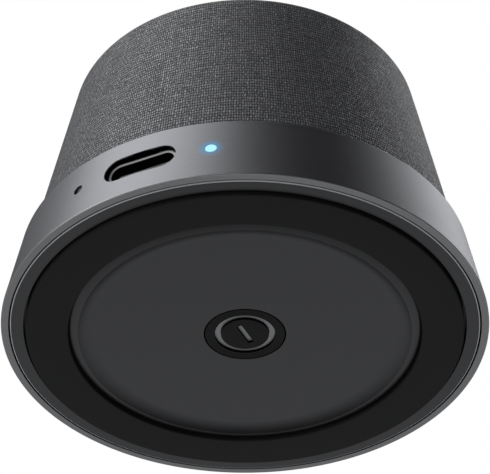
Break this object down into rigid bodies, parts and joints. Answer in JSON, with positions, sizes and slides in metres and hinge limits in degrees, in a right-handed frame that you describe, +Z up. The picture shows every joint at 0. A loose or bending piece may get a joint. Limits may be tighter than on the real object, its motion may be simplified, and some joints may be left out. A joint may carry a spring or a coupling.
{
  "type": "portable bluetooth speaker",
  "caption": "Small cone-shaped wireless speaker: fabric-covered body on a wide metal base band, power button in a dished underside, USB-C port, status light and microphone hole.",
  "frame": {"origin": "centre of the rubber foot's underside, on the surface the speaker stands on", "axes": "+Z up along the cone's axis, -Y towards the USB port, +X towards the status light's side"},
  "size_m": [0.061, 0.061, 0.0382],
  "materials": {
    "fabric": "fine melange knit",
    "inner_plastic": "moulded ABS",
    "foam": "closed-cell foam",
    "band_metal": "satin anodised",
    "cover_plastic": "satin moulded",
    "rubber": "matte",
    "panel_plastic": "fine texture",
    "button_plastic": "satin with turned lines",
    "icon": "satin",
    "black_plastic": "moulded",
    "white_plastic": "moulded nylon",
    "light_pipe": "clear, lit",
    "steel": "plated",
    "gold": "gold plated",
    "mesh": "fine woven mesh",
    "circuit_board": "solder mask",
    "ferrite": "ferrite",
    "capacitor": "ceramic",
    "ceramic": "ceramic",
    "foil": "laminated foil",
    "wire_red": "insulated wire",
    "wire_black": "insulated wire",
    "basket_steel": "black stamped steel",
    "magnet": "nickel plated",
    "kapton": "film",
    "copper": "enamelled wire",
    "spider_cloth": "treated cloth",
    "paper": "pressed paper",
    "phenolic": "phenolic board",
    "screw_steel": "zinc plated"
  },
  "bodies": {
    "housing": {"fabric_sleeve": "fabric", "grille_cap": "inner_plastic", "chassis": "inner_plastic", "chassis_gasket": "foam", "base_band": "band_metal", "bottom_cover": "cover_plastic", "rubber_foot": "rubber", "centre_panel": "panel_plastic", "tact_switch_body": "black_plastic", "light_pipe": "light_pipe", "status_led": "white_plastic", "usb_bezel": "black_plastic", "usb_shell": "steel", "usb_tongue": "black_plastic", "usb_contacts": "gold", "mic_mesh": "mesh", "mic_boot": "rubber", "microphone": "gold", "main_pcb": "circuit_board", "bluetooth_module": "steel", "amplifier_chip": "black_plastic", "charge_chip": "black_plastic", "power_inductors": "ferrite", "capacitors": "capacitor", "antenna": "ceramic", "battery_connector": "white_plastic", "speaker_connector": "white_plastic", "battery_tray": "inner_plastic", "battery_cell": "foil", "battery_pad": "foam", "battery_leads": "wire_red", "speaker_leads": "wire_black", "driver_basket": "basket_steel", "driver_yoke": "steel", "driver_magnet": "magnet", "driver_top_plate": "steel", "spider": "spider_cloth", "surround": "rubber", "driver_gasket": "foam", "driver_terminals": "phenolic", "driver_screws": "screw_steel", "cover_screws": "screw_steel", "pcb_screws": "screw_steel", "tray_screws": "screw_steel"},
    "button": {"power_button": "button_plastic", "button_icon": "icon"},
    "switch_plunger": {"tact_switch_plunger": "white_plastic"},
    "cone_assembly": {"driver_cone": "paper", "coil_former": "kapton", "voice_coil": "copper", "dust_cap": "paper"}
  },
  "joints": [
    {"name": "button_press", "type": "slide", "parent": "housing", "child": "button", "axis": [0, 0, 1], "range_m": [0, 0.0003], "stiffness_N_per_m": 3000, "springref_m": -0.0001},
    {"name": "plunger_press", "type": "slide", "parent": "housing", "child": "switch_plunger", "axis": [0, 0, 1], "range_m": [0, 0.0003]},
    {"name": "cone_stroke", "type": "slide", "parent": "housing", "child": "cone_assembly", "axis": [0, 0, 1], "range_m": [-0.0012, 0.0012], "stiffness_N_per_m": 1500, "deforming": ["surround", "spider"]}
  ],
  "couplings": [
    {"joint": "plunger_press", "follows": "button_press", "ratio": 1}
  ]
}
